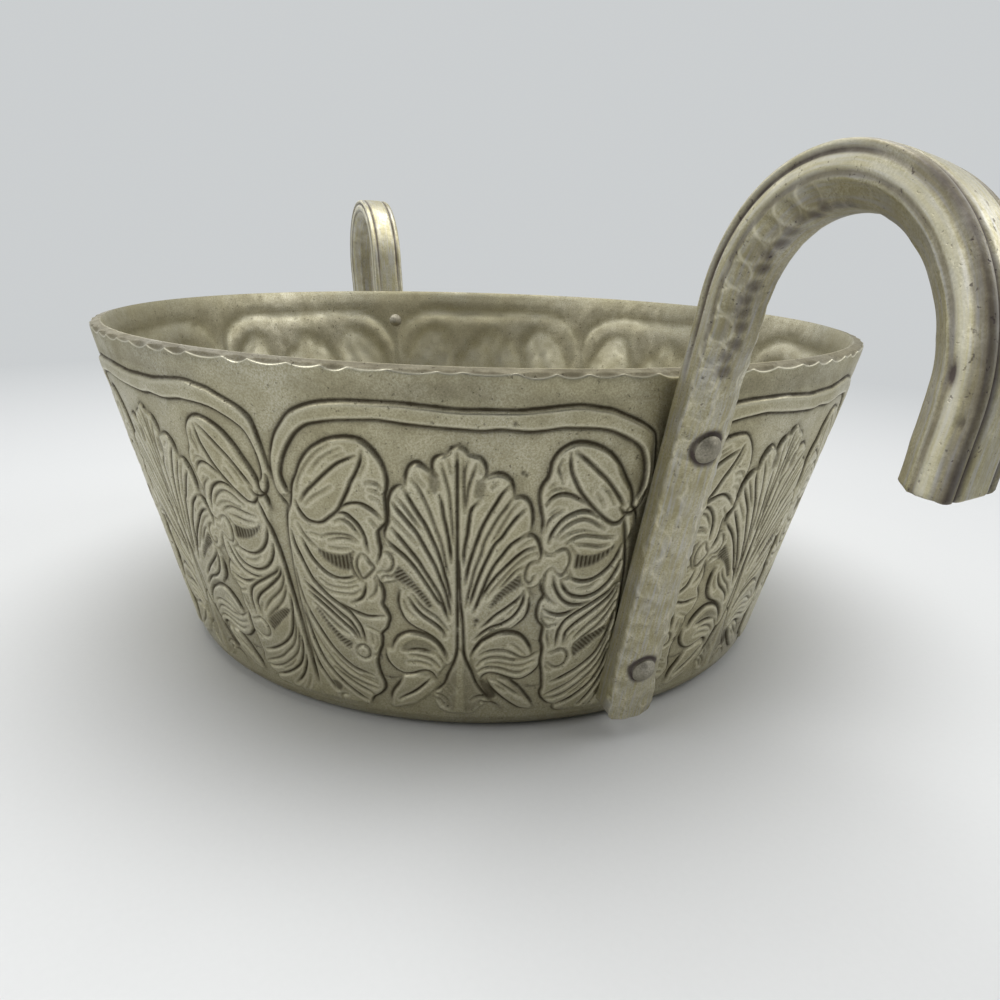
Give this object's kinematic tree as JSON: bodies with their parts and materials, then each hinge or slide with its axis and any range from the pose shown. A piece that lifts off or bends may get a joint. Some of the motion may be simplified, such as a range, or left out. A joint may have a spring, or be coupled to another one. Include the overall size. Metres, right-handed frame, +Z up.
{
  "type": "two-handled bowl",
  "caption": "Round hammered metal bowl with a straight flaring wall, chased palmette ornament and hooked strap handles riveted to opposite sides.",
  "frame": {"origin": "centre of the bowl's flat bottom, on the surface it stands on", "axes": "+Z up along the bowl's axis, +X from the bowl's axis towards one handle, +Y along the rim between the handles"},
  "size_m": [0.3802, 0.235, 0.137],
  "materials": {
    "bowl_metal": "hammered and chased, aged satin with brown patina in the lines",
    "handle_metal": "hammered bar, aged satin with olive patina",
    "rivet_metal": "aged satin"
  },
  "bodies": {
    "root": {"bowl": "bowl_metal", "right_handle": "handle_metal", "left_handle": "handle_metal", "right_upper_rivet": "rivet_metal", "right_lower_rivet": "rivet_metal", "left_upper_rivet": "rivet_metal", "left_lower_rivet": "rivet_metal"}
  },
  "joints": []
}
